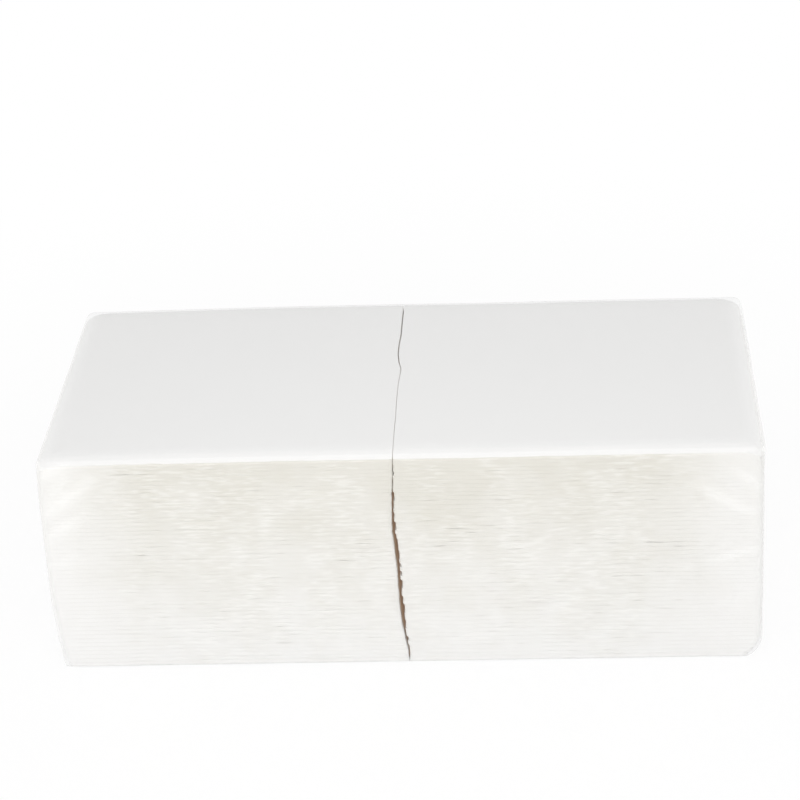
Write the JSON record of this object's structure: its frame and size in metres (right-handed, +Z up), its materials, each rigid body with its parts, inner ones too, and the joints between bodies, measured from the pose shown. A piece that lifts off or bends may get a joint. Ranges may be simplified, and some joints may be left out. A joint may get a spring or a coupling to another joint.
{
  "type": "stack of paper napkins",
  "caption": "White paper napkins folded in four, in two flat square piles side by side, wrapped tight in one clear film with parcel-folded ends.",
  "frame": {"origin": "middle of the pack's underside, on the surface it rests on", "axes": "+X along the pack from the left pile to the right one, -Y towards the front with the closed folds, +Z up"},
  "size_m": [0.2476, 0.1237, 0.0823],
  "materials": {
    "napkin_paper": "soft matte white tissue",
    "clear_film": "thin clear glossy film"
  },
  "bodies": {
    "root": {"left_pile": "napkin_paper", "right_pile": "napkin_paper", "film_wrap": "clear_film"}
  },
  "joints": []
}
